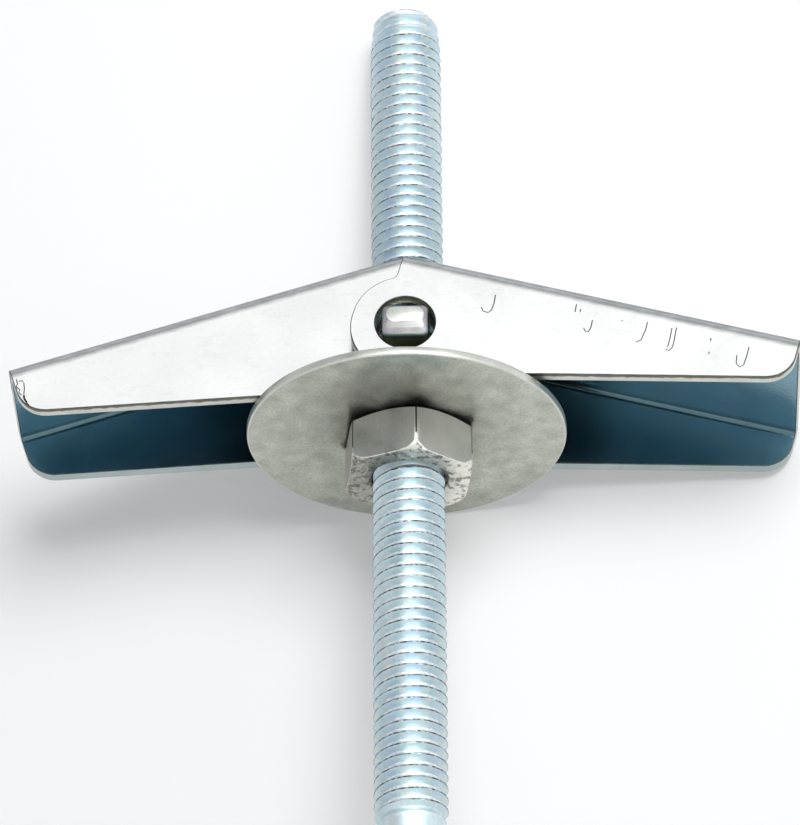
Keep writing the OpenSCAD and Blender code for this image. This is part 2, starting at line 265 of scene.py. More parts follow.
class Nodes:
    """A short way to add nodes and link them."""

    def __init__(self, tree):
        self.tree = tree

    def add(self, kind, *inputs, **settings):
        node = self.tree.nodes.new(kind)
        for key, value in settings.items():
            setattr(node, key, value)
        for socket, value in zip(node.inputs, inputs):
            self.put(socket, value)
        return node

    def put(self, socket, value):
        if isinstance(value, bpy.types.NodeSocket):
            self.tree.links.new(value, socket)
        elif value is not None:
            socket.default_value = value

    def feed(self, node, **values):
        """Fills a node's inputs by their names, with _ for a space."""
        for name, value in values.items():
            self.put(node.inputs[name.replace("_", " ")], value)
        return node

    def geometry(self, kind, **values):
        return self.feed(self.add("GeometryNode" + kind), **values).outputs[0]

    def maths(self, operation, *inputs):
        return self.add("ShaderNodeMath", *inputs, operation=operation).outputs[0]

    def ramp(self, value, low, high, out_low=0.0, out_high=1.0, kind="LINEAR"):
        """out_low where the value is low, out_high where it is high, and a slope between them."""
        node = self.add("ShaderNodeMapRange", value, low, high, out_low, out_high, interpolation_type=kind)
        return node.outputs[0]

    def mix(self, factor, a, b, blend="MIX"):
        node = self.add("ShaderNodeMix", data_type="RGBA", blend_type=blend)
        self.put(node.inputs[0], factor)
        self.put(node.inputs[6], a)
        self.put(node.inputs[7], b)
        return node.outputs[2]

    def noise(self, place, sizes, low=0.35, high=0.65):
        """Noise with its own size in millimetres along x, y and z, spread to 0 to 1."""
        stretched = self.add("ShaderNodeMapping", place, None, None, tuple(1 / size for size in sizes))
        node = self.feed(self.add("ShaderNodeTexNoise", stretched.outputs[0]), Scale=1.0)
        return self.ramp(node.outputs["Fac"], low, high)

    def patches(self, place, sizes, share, tone, shade, low=0.35, high=0.65):
        """Lays noisy patches of a shade over a tone. share is how strongly they cover it."""
        return self.mix(self.maths("MULTIPLY", self.noise(place, sizes, low, high), share), tone, shade)

    def dulled(self, share, tone, factors):
        """The tone times three factors, where share is 1."""
        return self.mix(share, tone, self.mix(1.0, tone, (*factors, 1.0), "MULTIPLY"))

    def axis(self, place, name):
        return self.add("ShaderNodeSeparateXYZ", place).outputs[name]

    def marked(self, name):
        """A number that the mesh itself carries at each point."""
        return self.add("ShaderNodeAttribute", attribute_name=name).outputs["Fac"]

    def viewed(self):
        """1 for direct, mirrored and refracted rays, 0 for those that only light things."""
        rays = self.add("ShaderNodeLightPath").outputs
        direct = self.maths("MAXIMUM", rays["Is Camera Ray"], rays["Is Glossy Ray"])
        return self.maths("MAXIMUM", direct, rays["Is Transmission Ray"])

    def millimetres(self):
        """Object coordinates in upright millimetres."""
        place = self.add("ShaderNodeTexCoord").outputs["Object"]
        euler = turn_back.to_3x3().normalized().to_euler()
        node = self.add("ShaderNodeMapping", place, turn_back.translation, tuple(euler), (1 / MM,) * 3)
        return node.outputs[0]


def colour(r, g, b):
    """A colour from the 0 to 255 numbers of a paint shop, made linear."""
    def linear(c):
        c /= 255
        return c / 12.92 if c <= 0.04045 else ((c + 0.055) / 1.055) ** 2.4
    return (linear(r), linear(g), linear(b), 1.0)


print("upright origin:", [round(c, 4) for c in washer_foot])

# %% [markdown]
# ## A shared effect
# Zinc plating is never one flat colour. Crystals and handling leave soft clouds and a fine
# grain. Every material here needs them, so they are a node group with its own sizes.

# %% Zinc grain
def sockets(tree, kind, labels, in_out="INPUT"):
    """Named inputs or outputs of a group, whose default values come with them in a dictionary."""
    for label in labels:
        socket = tree.interface.new_socket(label, in_out=in_out, socket_type="NodeSocket" + kind)
        if isinstance(labels, dict):
            socket.default_value = labels[label]


grain_group = bpy.data.node_groups.new("zinc grain", "ShaderNodeTree")
sockets(grain_group, "Float", {"Cloud size": 4.0, "Grain size": 0.25})
sockets(grain_group, "Float", ["Clouds", "Grain", "Height"], "OUTPUT")
n = Nodes(grain_group)
size = n.add("NodeGroupInput").outputs
place = n.millimetres()
noises = {}
for label, detail in (("Cloud", 4.0), ("Grain", 3.0)):
    scale = n.maths("DIVIDE", 1.0, size[label + " size"])
    noises[label] = n.feed(n.add("ShaderNodeTexNoise", place), Scale=scale, Detail=detail).outputs["Fac"]
fine = n.maths("MULTIPLY", noises["Grain"], 0.4)
height = n.maths("MULTIPLY_ADD", noises["Cloud"], 0.6, fine)
clouds, grain = (n.ramp(noises[label], 0.3, 0.7) for label in ("Cloud", "Grain"))
n.feed(n.add("NodeGroupOutput"), Clouds=clouds, Grain=grain, Height=height)
print("group:", grain_group.name)

# %% [markdown]
# ## A metal with that grain
# All the finishes are the same kind of metal: a base colour, clouds of a second colour, some
# roughness and a slight bump. Whatever makes one of them special, such as painted shade on a bend, is a
# small function of its own that paints over the tone.

# %% A metal with grain
def zinc(name, base, cloud, rough, clouds, grain, bump=0.02, dark=0.05, paint=None):
    """A plated metal: base and cloud are colours, clouds and grain are sizes and bump is a height in
    millimetres, and dark says how much the grain darkens it. paint works over the tone."""
    material = bpy.data.materials.new(name)
    material.use_nodes = True
    n = Nodes(material.node_tree)
    effect = n.feed(n.add("ShaderNodeGroup", node_tree=grain_group), Cloud_size=clouds, Grain_size=grain)
    tone = n.mix(effect.outputs["Clouds"], colour(*base), colour(*cloud))
    shade = n.ramp(effect.outputs["Grain"], 0.0, 1.0, 1.0 - dark, 1.0)
    tone = n.mix(1.0, tone, n.add("ShaderNodeCombineColor", shade, shade, shade).outputs[0], "MULTIPLY")
    if paint:
        tone = paint(n, n.millimetres(), tone)
    uneven = n.ramp(effect.outputs["Clouds"], 0.0, 1.0, rough * 0.85, rough * 1.15)
    bumps = n.feed(n.add("ShaderNodeBump", 1.0, bump * MM), Height=effect.outputs["Height"])
    n.feed(n.tree.nodes["Principled BSDF"], Metallic=1.0, Base_Color=tone, Roughness=uneven,
           Normal=bumps.outputs[0])
    return material


def sheared_edge_shade(n, place, tone):
    """Painted shade: dark on the upper cheek's cut edges near its outer face, and darker and bluer on the
    lower cheek's cut edges.
    """
    # painted shade along the upper cheek's edges, where roll is high
    wavy = n.maths("MULTIPLY_ADD", n.noise(place, (0.8, 0.8, 0.8)), 0.14, n.marked("roll"))
    tone = n.mix(n.ramp(wavy, 0.64, 0.76), tone, colour(112, 108, 98))
    # painted shade, darker and bluer, on the lower cheek's edges
    return n.dulled(n.marked("under"), tone, (0.66, 0.76, 0.82))


bright_zinc = zinc("bright_zinc", (198, 200, 195), (216, 217, 210),
                   rough=0.24, clouds=1.6, grain=0.15, bump=0.01, dark=0.1)
spring_steel = zinc("spring_steel", (120, 122, 126), (150, 152, 156),
                    rough=0.3, clouds=1.0, grain=0.1, bump=0.01, dark=0.1)
sheared_edge = zinc("sheared_edge", (204, 205, 198), (222, 222, 214),
                    rough=0.45, clouds=2.5, grain=0.12, bump=0.02, dark=0.15, paint=sheared_edge_shade)
# dark finish: painted shade on the wings' bevelled edges, and the colour of the scratches
edge_shade_and_scratch = zinc("edge_shade_and_scratch", (50, 60, 60), (100, 108, 104),
                   rough=0.45, clouds=0.6, grain=0.1, bump=0.01, dark=0.2)
print("materials:", len(bpy.data.materials))

# %% [markdown]
# ## The threaded rod
# An M6 thread is one ridge that winds round the rod, so a wave of the height and of the
# angle describes every point of it. Geometry Nodes can bend a flat grid into it: one side
# of the grid goes once round, the other follows the ridge, and each point's radius comes
# from where it sits in the wave. The rows that run past an end close its face.
#
# The plating ran down the rod as it dried, so its tones lie in long streaks. A broken painted
# highlight lies on the roots and broken painted shade on the crests, and both are found by their radius.

# %% Sizes and finish of the rod
rod_r, shank_r, root_r = 2.95, 2.70, 2.36
far_len, near_len, shank_len = 40.4, 35.3, 10.0
low_end, high_end = -near_len - shank_len, far_len
print("rod is", high_end - low_end, "mm long")


def rod_tones(n, place, tone):
    """Teal streaks, warm and blue patches, a broken painted highlight on the roots and broken painted shade
    on the crests.
    """
    tone = n.patches(place, (1.0, 1.4, 24), 0.25, tone, colour(150, 184, 186))
    tone = n.patches(place, (0.9, 0.9, 9), 0.5, tone, colour(224, 226, 214), 0.5, 0.7)
    tone = n.patches(place, (1.1, 1.3, 14), 0.5, tone, colour(190, 208, 236), 0.5, 0.7)
    x, y = n.axis(place, "X"), n.axis(place, "Y")
    radius = n.maths("SQRT", n.maths("ADD", n.maths("MULTIPLY", x, x), n.maths("MULTIPLY", y, y)))
    # painted highlight along the thread's roots
    root = n.ramp(radius, root_r + 0.04, root_r + 0.1, 0.8, 0.0)
    tone = n.patches(place, (0.3, 0.3, 0.1), root, tone, colour(255, 246, 244), 0.42, 0.6)
    # painted shade along the thread's crests
    crest_shade = n.ramp(radius, rod_r - 0.05, rod_r - 0.01)
    return n.patches(place, (0.3, 0.3, 0.3), crest_shade, tone, colour(66, 70, 60), 0.25, 0.6)


blue_zinc = zinc("blue_zinc", (206, 224, 230), (218, 231, 236),
                 rough=0.48, clouds=5.0, grain=0.3, bump=0.02, dark=0.12, paint=rod_tones)

# %% [markdown]
# ### Inputs of the thread
# Every size of the thread is a named input, so the same nodes make any other bolt. The grid
# has one row of points for each step along the ridge and one column for each step round.

# %% Geometry Nodes for the thread: inputs and grid
thread_sizes = {"Crest radius": rod_r, "Root radius": root_r, "Shank radius": shank_r, "Pitch": 1.0,
                "Low end": low_end, "High end": high_end, "Thread starts": -near_len, "Run-out": 0.6,
                "Chamfer": 0.6, "Taper": 0.3, "Dents": 0.16}
run_in = 5
thread_tree = bpy.data.node_groups.new("thread", "GeometryNodeTree")
sockets(thread_tree, "Geometry", ["Geometry"], "OUTPUT")
sockets(thread_tree, "Float", thread_sizes)
sockets(thread_tree, "Int", ["Rows", "Rows each", "Around"])
sockets(thread_tree, "Material", ["Finish"])

n = Nodes(thread_tree)
maths = n.maths
add, less, times = partial(maths, "ADD"), partial(maths, "SUBTRACT"), partial(maths, "MULTIPLY")
over, least, most = partial(maths, "DIVIDE"), partial(maths, "MINIMUM"), partial(maths, "MAXIMUM")
size = n.add("NodeGroupInput").outputs
columns = add(size["Around"], 1.0)
grid = n.geometry("MeshGrid", Size_X=1, Size_Y=1, Vertices_X=add(size["Rows"], 1.0), Vertices_Y=columns)
index = n.geometry("InputIndex")
row = maths("FLOOR", over(add(index, 0.5), columns))
step = less(index, times(row, columns))
turn = over(step, size["Around"])
print("thread inputs:", sorted(thread_sizes))

# %% [markdown]
# ### The section of the ridge
# Two Float Curves hold the shape of one ridge. The first places the rows within a pitch,
# close together where the section turns a corner. The second says how far each row lies
# under the crest, from 0 at the crest to 1 at the root.

# %% Section of the ridge
def section_curve(value, heights):
    node = n.feed(n.add("ShaderNodeFloatCurve"), Value=value)
    points = node.mapping.curves[0].points
    for i, height in enumerate(heights):
        spot = i / (len(heights) - 1)
        if i == 0 or i == len(heights) - 1:
            point = points[0 if i == 0 else -1]
            point.location = (spot, height)
        else:
            point = points.new(spot, height)
        point.handle_type = "VECTOR"
    node.mapping.update()
    return node.outputs[0]


half_places = [0.0, 0.045, 0.075, 0.10, 0.13, 0.36, 0.40, 0.44, 0.5]
half_drops = [0.0, 0.0, 0.06, 0.13, 0.21, 0.89, 0.96, 0.99, 1.0]
places = half_places + [1 - place for place in half_places[-2::-1]]
drops = half_drops + half_drops[-2::-1]
wave = over(row, size["Rows each"])
turns = maths("FLOOR", add(wave, 0.001))
within = most(less(wave, turns), 0.0)
phase = section_curve(within, places)
drop = section_curve(within, drops)
print("points of the section:", len(places))

# %% [markdown]
# ### From shank to thread
# A row starts some pitches under the low end and climbs one pitch as it goes round. Where
# the thread begins, its ridge grows out of the plain shank. Small dents along the crests
# come from other bolts in the same bin.

# %% Height and radius of each point
def blend(share, low, high):
    return add(low, times(share, less(high, low)))


start = less(size["Low end"], times(size["Pitch"], run_in))
climb = add(add(turns, phase), turn)
along = add(start, times(size["Pitch"], climb))
ridge = n.ramp(drop, 0.0, 1.0, size["Crest radius"], size["Root radius"])
plain_to = less(size["Thread starts"], size["Run-out"])
full_from = add(size["Thread starts"], times(size["Pitch"], 0.9))
fade = n.ramp(along, plain_to, full_from, kind="SMOOTHSTEP")
radius = blend(fade, size["Shank radius"], ridge)
angle = times(turn, tau)
across, deep = maths("COSINE", angle), maths("SINE", angle)
dent_place = n.add("ShaderNodeCombineXYZ", times(across, 3.0), times(deep, 3.0), along)
dent = n.feed(n.add("ShaderNodeTexNoise"), Vector=dent_place.outputs[0], Scale=1.7)
depth = times(size["Dents"], most(less(dent.outputs["Fac"], 0.5), 0.0))
at_crest = n.ramp(drop, 0.0, 0.14, 1.0, 0.0)
radius = less(radius, times(depth, times(at_crest, fade)))
print("nodes so far:", len(thread_tree.nodes))

# %% [markdown]
# ### The two ends
# Towards an end the radius falls one for one with what is left of the way, which makes the
# chamfer, and past the end it falls to nothing, which makes the end face. The last three
# turns of a rolled thread are a little thinner as well.

# %% Ends, position and finish
crest_end = blend(fade, size["Shank radius"], size["Crest radius"])
to_high = less(size["High end"], along)
to_low = less(along, size["Low end"])
for gap in (to_high, to_low):
    limit = add(less(crest_end, size["Chamfer"]), gap)
    radius = least(radius, limit)
slim = times(size["Taper"], maths("MULTIPLY_ADD", to_high, 1 / 3, -1.0))
radius = least(radius, add(crest_end, slim))
radius = most(radius, 0.0)
height = least(most(along, size["Low end"]), size["High end"])
spot = n.add("ShaderNodeCombineXYZ", times(radius, across), times(radius, deep), height)
bent = n.geometry("SetPosition", Geometry=grid, Position=spot.outputs[0])


def tree_end(n, geometry, finish):
    """The last nodes of every tree: real geometry, its finish and the way out."""
    real = n.geometry("RealizeInstances", Geometry=geometry)
    n.add("NodeGroupOutput", n.geometry("SetMaterial", Geometry=real, Material=finish))


tree_end(n, n.geometry("MergeByDistance", Geometry=bent, Distance=0.001), size["Finish"])
print("thread tree has", len(thread_tree.nodes), "nodes")

# %% [markdown]
# ### Winding the thread
# The tree runs once on an empty object, and its result is read back as a plain mesh.

# %% Wind the thread
def grown(tree, name, inputs, start=None):
    """Runs a Geometry Nodes tree on an object and returns the plain mesh."""
    host = new_object(name, start or bpy.data.meshes.new(name))
    modifier = host.modifiers.new(name, "NODES")
    modifier.node_group = tree
    for item in tree.interface.items_tree:
        if item.item_type == "SOCKET" and item.in_out == "INPUT" and item.name in inputs:
            modifier[item.identifier] = inputs[item.name]
    mesh = evaluated(host, name)
    bpy.data.objects.remove(host)
    return mesh


def outwards(mesh):
    """Turns every face of a closed mesh outwards."""
    form = bmesh.new()
    form.from_mesh(mesh)
    bmesh.ops.dissolve_degenerate(form, dist=1e-5, edges=form.edges)
    bmesh.ops.recalc_face_normals(form, faces=form.faces)
    form.to_mesh(mesh)
    form.free()
    return mesh


rows_each, around = 16, 56
pitches = (high_end - low_end) / thread_sizes["Pitch"] + 2 * run_in
thread_inputs = {**thread_sizes, "Rows": int(pitches * rows_each), "Rows each": rows_each, "Around": around,
                 "Finish": blue_zinc}
thread_mesh = coat(outwards(grown(thread_tree, "threaded_rod", thread_inputs)), [blue_zinc], lambda face: 0)
finished("threaded_rod_piece", thread_mesh, "rod", "threaded_rod", smooth_angle=50)

# %% [markdown]
# ## The hex nut
# A nut is cut from hexagonal bar and turned on both faces, which leaves an arc on each flat.
# Go round it in small steps, and at each step work out where the flat, the turned cone and
# the end face meet. Spanners polish the edges, and their bright finish adds a painted highlight to that wear.

# %% Finishes of the nut
def flat_painted_sidelight(n, place, tone):
    """Painted light: one side is brighter."""
    return n.mix(n.ramp(n.axis(place, "X"), -1, 3, 0.0, 0.6), tone, colour(226, 225, 220))


def face_sidelight_and_pits(n, place, tone):
    """The sawn end: painted light makes the same side brighter, and it has dark pits and pale scratches."""
    # painted light, brighter towards x
    tone = n.mix(n.ramp(n.axis(place, "X"), -3, 4, 0.0, 0.85), tone, colour(244, 242, 234))
    tone = n.patches(place, (0.5, 0.5, 0.5), 0.75, tone, colour(96, 96, 88), 0.5, 0.62)
    return n.patches(place, (0.16, 0.16, 0.5), 0.6, tone, colour(226, 224, 212), 0.55, 0.65)


def rim_wear_and_shade(n, place, tone):
    """Bright and broken at the turned end, with painted shade further along the corners."""
    tone = n.patches(place, (0.5, 0.5, 0.2), 0.6, tone, colour(120, 118, 110), 0.5, 0.7)
    # painted shade on the corners towards the washer
    return n.mix(n.ramp(n.axis(place, "Z"), rim_top, rim_top + 0.3), tone, colour(70, 70, 62))


rim_top = -3.1
nut_flat = zinc("nut_flat", (178, 177, 175), (194, 193, 190),
                rough=0.34, clouds=2.2, grain=0.2, bump=0.02, dark=0.15, paint=flat_painted_sidelight)
nut_face = zinc("nut_face", (158, 157, 148), (188, 187, 178),
                rough=0.42, clouds=1.2, grain=0.15, bump=0.05, dark=0.25, paint=face_sidelight_and_pits)
# bright rim: spanner wear and a painted highlight
nut_rim = zinc("nut_rim", (232, 230, 222), (250, 248, 242),
               rough=0.35, clouds=1.0, grain=0.1, bump=0.01, dark=0.1, paint=rim_wear_and_shade)
nut_shade = zinc("nut_shade", (30, 30, 26), (40, 40, 35), rough=0.5, clouds=1.0, grain=0.2)
nut_finishes = [nut_flat, nut_face, nut_rim, nut_shade]
FLAT, FACE, RIM, SHADE = range(len(nut_finishes))
print("nut finishes:", [finish.name for finish in nut_finishes])

# %% Hex nut section
nut_af, nut_h, nut_turn, nut_bevel, nut_edge_drop, nut_sink = 9.8, 4.25, -22, 0.45, 0.75, 0.4
far_bevel, far_slope, worn_from, wear = 0.12, 0.5, 28, 0.05
thread_play, edge_round = 0.05, 0.09
bore_r = rod_r + thread_play
nut_corner_r = nut_af / 2 / cos(pi / 6)


def nut_end(flat, face_r, rise):
    """Half the section of one end as (radius, depth) points outwards. The flat lies `flat` from the axis,
    and the cone starts at face_r and deepens by rise for each millimetre."""
    corner_r = min(face_r, flat)
    cone = max(0.0, flat - face_r) * rise
    run = hypot(flat - corner_r, cone)
    part = min(0.5, edge_round / run) if run > 1e-6 else 0.5
    ends = [(corner_r + (flat - corner_r) * t, cone * t) for t in (part, 1 - part)]
    if run < 2 * edge_round:
        ends = [(flat - 0.3 * edge_round, 0.3 * edge_round)] * 2
    return ([(bore_r, nut_sink), (bore_r + nut_sink, 0.0), (corner_r - edge_round, 0.0)] + ends
            + [(flat, cone + edge_round)])


def nut_column(angle):
    """All points of the nut's section at an angle from the middle of a flat."""
    worn = max(0.0, (abs(angle) - worn_from) / (30 - worn_from))
    flat = nut_af / 2 / cos(radians(angle)) - wear * worn ** 2
    near = nut_end(flat, nut_corner_r - nut_bevel, nut_edge_drop / nut_bevel)
    far = nut_end(flat, nut_af / 2 - far_bevel, far_slope)
    return [(r, -nut_h + d) for r, d in near] + [(r, -d) for r, d in reversed(far)]


print("points of the section:", len(nut_column(0)))

# %% Hex nut
row_finish = [FACE] * 4 + [RIM, FLAT] + [SHADE] * 3 + [FACE] * 3
flat_steps = (-30, -29.3, -28.5, -27, -22.5, -15, -7.5, 0, 7.5, 15, 22.5, 27, 28.5, 29.3)
form = bmesh.new()
columns = []
for flat in range(6):
    for step in flat_steps:
        a = radians(nut_turn + 30 + 60 * flat + step)
        columns.append([form.verts.new((r * cos(a), r * sin(a), z)) for r, z in nut_column(step)])
for i, (here, there) in enumerate(zip(columns, columns[1:] + columns[:1])):
    at_corner = i % len(flat_steps) in (0, len(flat_steps) - 1)
    for k in range(len(here)):
        j = (k + 1) % len(here)
        face = form.faces.new([here[k], there[k], there[j], here[j]])
        face.material_index = RIM if at_corner and row_finish[k] == FLAT else row_finish[k]
nut_mesh = coat(mesh_from(form, "hex_nut", weld=1e-4), nut_finishes)
finished("hex_nut_piece", nut_mesh, "nut", "hex_nut", smooth_angle=50, flats=True)

# %% [markdown]
# ## The washer
# A washer is punched from sheet, and hangs a little to one side on the rod. The punch rolls
# one edge over softly and leaves the other crisp with a slight burr, so its half profile has
# a different corner on each side.

# %% Washer
washer_r, washer_t, washer_play, roll, burr = 13.0, 0.7, 0.25, 0.16, 0.05
washer_hole_r = rod_r + washer_play
washer_profile = (
    [(washer_hole_r + burr, 0.0)] + arc(washer_r - roll, roll, roll, -90, 0, 5)
    + [(washer_r, washer_t - burr), (washer_r - burr, washer_t)]
    + [(washer_hole_r + roll, washer_t), (washer_hole_r, washer_t - roll), (washer_hole_r, burr)])
grained_zinc = zinc("grained_zinc", (172, 174, 162), (206, 208, 196),
                    rough=0.34, clouds=1.8, grain=0.22, bump=0.06, dark=0.25)
washer_mesh = coat(turned("washer", washer_profile, steps=128, closed=True), [grained_zinc, sheared_edge],
                   lambda face: 1 if face.center.xy.length > washer_r - roll else 0)
washer_slip, rest_roll = 0.15, radians(8.81649)
aside = Vector((-cos(rest_roll), sin(rest_roll), 0)) * washer_slip
washer_mesh.transform(Matrix.Translation(aside))
finished("washer_piece", washer_mesh, "washer", "washer", smooth_angle=50)

# %% [markdown]
# ## The wings
# Each wing is one sheet folded into a channel and cut to the outline of its cheeks. The
# sizes follow one another from the rod outwards, so that the wings nest with little play.

# %% Wing sizes
sheet_t, bend_r, hole_d, ear_wall, ear_hollow, slot_corner, corner_r = 1.0, 1.5, 4.88, 1.9, 0.65, 1.5, 2.5
wire_d, wire_play, ear_gap, fold_play, slot_play = 0.45, 0.05, 0.9, 0.1, 0.45
hole_sides, hole_rim, edge_bevel = 48, 0.3, 0.1
block_wall, block_len, block_h = 1.6, 7.2, 6.4
block_w = 2 * (bore_r + block_wall)
ear_r = hole_d / 2 + ear_wall
inner_half = block_len / 2 + 2 * wire_d + 4 * wire_play + sheet_t
outer_half = inner_half + ear_gap + sheet_t
outer_rise = hypot(block_w, block_h) / 2 + fold_play + sheet_t
inner_rise = outer_rise + sheet_t + fold_play / 2
inner_slot, outer_slot = rod_r + slot_play, inner_half + fold_play
# Press and handling marks on the front cheeks, as runs of (x, z) points from the pivot
outer_marks = [
    [(6.43, 4.25), (6.51, 3.48), (6.48, 2.79), (6.27, 2.49), (5.84, 2.53), (5.62, 2.87)],
    [(14.62, 3.85), (14.67, 3.18), (14.58, 2.72), (14.35, 2.66), (14.11, 2.94)],
    [(18.97, 4.74), (19.0, 3.97), (18.87, 2.96), (18.53, 2.68)],
    [(21.35, 4.82), (21.45, 3.79), (21.49, 2.94), (21.3, 2.55), (21.0, 2.6)],
    [(21.02, 4.67), (21.1, 3.52), (21.11, 2.85)],
    [(24.29, 4.51), (24.32, 4.23)], [(24.47, 3.25), (24.45, 3.0)],
    [(27.45, 4.43), (27.47, 3.47), (27.42, 2.68), (27.15, 2.42), (26.79, 2.72), (26.69, 3.46)],
    [(13.0, 5.0), (13.07, 4.24)], [(13.43, 4.62), (13.46, 4.34)], [(16.9, 4.37), (17.03, 4.35)]]
inner_marks = [
    [(31.1, 6.12), (31.13, 5.69), (31.3, 5.44), (31.08, 5.11), (31.25, 4.88), (31.12, 4.54)],
    [(30.61, 5.64), (30.73, 5.05), (30.9, 4.62), (30.94, 4.13), (30.85, 3.75)],
    [(30.96, 5.88), (30.7, 5.86), (30.64, 5.7)], [(31.0, 4.5), (31.03, 4.2), (30.98, 3.9), (30.8, 3.44)]]
outer_slope, inner_slope = 15.5, 17.4
wings = {
    "outer": dict(half=outer_half, rise=outer_rise, root=4.84, tip=4.2, length=31.3, slope=outer_slope,
                  slot=outer_slot, side=1, marks=outer_marks),
    "inner": dict(half=inner_half, rise=inner_rise, root=5.06, tip=4.7, length=31.4, slope=inner_slope,
                  slot=inner_slot, side=-1, marks=inner_marks)}
for name, w in wings.items():
    print(name, "wing:", round(2 * w["half"], 2), "mm wide,", round(w["rise"], 3), "mm from pivot to spine")

# %% [markdown]
# ### Four finishes on one wing
# The outside is bright, and painted shade makes the inside darker, with the blue of the
# passivate. A sheared edge is grey, the bevels along the edges carry dark painted shade and
# the scratches are dark. The fold attribute runs from 0 on a cheek to 1 on the spine, so a bend can be told
# from the flat sheet beside it.

# %% Finishes of the wings
def bend_shade_tones(n, place, tone):
    """Painted shade makes a bend duller and bluer than the sheet beside it."""
    fold = n.marked("fold")
    uneven = n.maths("MULTIPLY_ADD", n.noise(place, (1.5, 0.6, 0.6)), 0.10, -0.02)
    bend_shade_onset = n.ramp(n.maths("SUBTRACT", fold, uneven), 0.0, 0.45)
    return n.dulled(n.maths("MULTIPLY", bend_shade_onset, n.ramp(fold, 1.0, 0.75)), tone, (0.25, 0.28, 0.295))


def inside_bend_shade(n, place, tone):
    """Painted shade makes the bend a little duller on the inside too."""
    fold = n.marked("fold")
    bent = n.maths("MULTIPLY", n.ramp(fold, 0.0, 0.2), n.ramp(fold, 1.0, 0.8))
    return n.dulled(bent, tone, (0.55, 0.55, 0.52))


# the outside of a wing, with painted shade on its bends
wing_zinc = zinc("wing_zinc", (222, 223, 221), (229, 229, 227),
                 rough=0.2, clouds=7.0, grain=0.3, bump=0.01, dark=0.03, paint=bend_shade_tones)
# inside of the channel: painted shade darkens it, with the blue of the passivate
wing_inside_shaded = zinc("wing_inside_shaded", (122, 155, 168), (134, 167, 180),
                   rough=0.24, clouds=5.0, grain=0.3, bump=0.02, dark=0.1, paint=inside_bend_shade)
wing_finishes = [wing_zinc, sheared_edge, wing_inside_shaded, edge_shade_and_scratch]
OUTSIDE, SHEARED, SHADED_INSIDE, EDGE_SHADE_AND_SCRATCH = range(len(wing_finishes))
print("wing finishes:", [finish.name for finish in wing_finishes])

# %% Channel, cheek outline and slot
def channel(half, rise, length):
    """The folded sheet as a bar with the section of an upside-down U."""
    outer = ([(-half, -2 * rise)] + arc(-half + bend_r, rise - bend_r, bend_r, 180, 90, 10)
             + arc(half - bend_r, rise - bend_r, bend_r, 90, 0, 10) + [(half, -2 * rise)])
    h, top, r = half - sheet_t, rise - sheet_t, bend_r - sheet_t
    inner = ([(h, -2 * rise)] + arc(h - r, top - r, r, 0, 90, 8)
             + arc(-h + r, top - r, r, 90, 180, 8) + [(-h, -2 * rise)])
    return plate("channel", outer + inner, (-2 * ear_r, length + 1), across="x")


def cheek_outline(rise, root, tip, length, back):
    """The side of a wing, pivot at the origin and spine along x, as one run of points."""
    slant = atan((rise - tip + root) / length)
    a = degrees(slant)
    heel = (0, ear_r / cos(slant) - root)
    corner = (length - corner_r, rise - tip + corner_r * (1 - sin(slant)) / cos(slant))
    reach = ear_r + ear_hollow
    hollow = (-back - ear_hollow, sqrt(reach ** 2 - (back + ear_hollow) ** 2))
    meet = degrees(atan2(hollow[1], hollow[0]))
    return ([(-back, rise), (length, rise)]
            + arc(*corner, corner_r, 0, a - 90, 14)
            + arc(*heel, ear_r, a - 90, -180, 28)
            + arc(0, 0, ear_r, 180, meet, 10)[1:]
            + arc(*hollow, ear_hollow, meet - 180, 0, 8)[1:])


def slot_outline(half, end):
    r, start = slot_corner, -2 * ear_r
    corners = arc(end - r, -half + r, r, -90, 0, 8) + arc(end - r, half - r, r, 0, 90, 8)
    return [(start, -half)] + corners + [(start, half)]


print("helpers: channel, cheek_outline, slot_outline")

# %% [markdown]
# ### Press tools
# A cut face takes the material of the tool that made it, as a real one takes the mark of
# the punch. Fine scratches are cut the same way, with a thin wedge along each path.

# %% Press tools and scratches
def tool(mesh, finish=SHEARED):
    """Gives a cutter's faces the finish of the surfaces that it leaves."""
    return coat(mesh, wing_finishes, lambda face: finish)


def depth_in_sheet(point, half, rise):
    """How deep a point lies in the sheet, from its outer face."""
    side, top = abs(point.y) - (half - bend_r), point.z - (rise - bend_r)
    if side > 0 and top > 0:
        return bend_r - hypot(side, top)
    return min(half - abs(point.y), rise - point.z)


def groove(path, surface, width=0.06, depth=0.05):
    """A thin wedge along a path of (x, z) points, for the cheek whose outer face lies at y = surface."""
    out, rings = copysign(1.0, surface), []
    points = [Vector(point) for point in path]
    for i, point in enumerate(points):
        way = (points[min(i + 1, len(points) - 1)] - points[max(i - 1, 0)]).normalized()
        side = Vector((-way.y, way.x)) * width
        section = [(point + side, 0.02), (point, 0.06), (point - side, 0.02), (point, -depth)]
        rings.append([(p.x, surface + out * lift, p.y) for p, lift in section])
    return loft("groove", rings)


print("tools cut with", wing_finishes[SHEARED].name, "and", wing_finishes[EDGE_SHADE_AND_SCRATCH].name)

# %% [markdown]
# ### Pressing a wing
# The channel is cut, its edges are rounded, and the scratches come last, so that they stay
# crisp. Then each point learns where it lies on the sheet: how far round the fold, how deep
# from the outside, and on which cheek. At the end the wing swings up to its slope.

